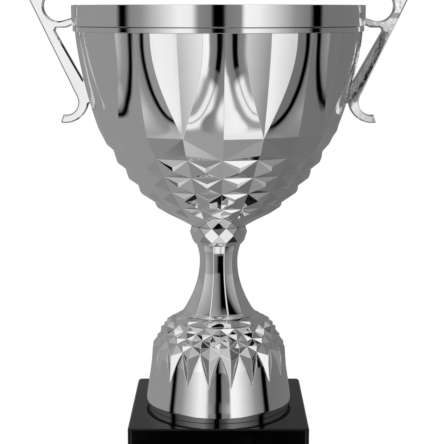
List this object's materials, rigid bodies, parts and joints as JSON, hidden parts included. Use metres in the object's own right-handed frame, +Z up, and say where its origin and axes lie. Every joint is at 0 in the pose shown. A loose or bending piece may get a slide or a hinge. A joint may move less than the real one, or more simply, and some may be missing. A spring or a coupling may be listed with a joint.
{
  "type": "cup trophy",
  "caption": "Cup trophy on a square stone block: bell-shaped riser, waisted stem, diamond-cut open bowl with a smooth rim band and two flat scroll handles.",
  "frame": {"origin": "middle of the underside, where the felt meets the table", "axes": "+Z up through rod, stem and bowl; the front faces -Y; the two handles lie along X"},
  "size_m": [0.224, 0.1636, 0.3241],
  "materials": {
    "cut_chrome": "bright plated, faceted, edges slightly rounded by the plating",
    "smooth_chrome": "bright plated, smooth and mirror-like",
    "cast_chrome": "bright plated over an uneven casting",
    "black_stone": "polished black",
    "felt": "matt pressed felt",
    "zinc_steel": "bright zinc plated"
  },
  "bodies": {
    "root": {"base_block": "black_stone", "base_felt": "felt", "base_nut": "zinc_steel", "base_washer": "zinc_steel", "tie_rod": "zinc_steel", "riser_bell": "cut_chrome", "stem": "cut_chrome", "knop": "cut_chrome", "bowl_shell": "cut_chrome", "rim_band": "smooth_chrome", "cup_liner": "smooth_chrome", "bowl_washer": "zinc_steel", "bowl_lock_washer": "zinc_steel", "bowl_nut": "zinc_steel", "handle_left": "cast_chrome", "handle_right": "cast_chrome", "handle_leg_screws": "zinc_steel", "handle_leg_washers": "zinc_steel", "handle_rim_screws": "zinc_steel"}
  },
  "joints": []
}
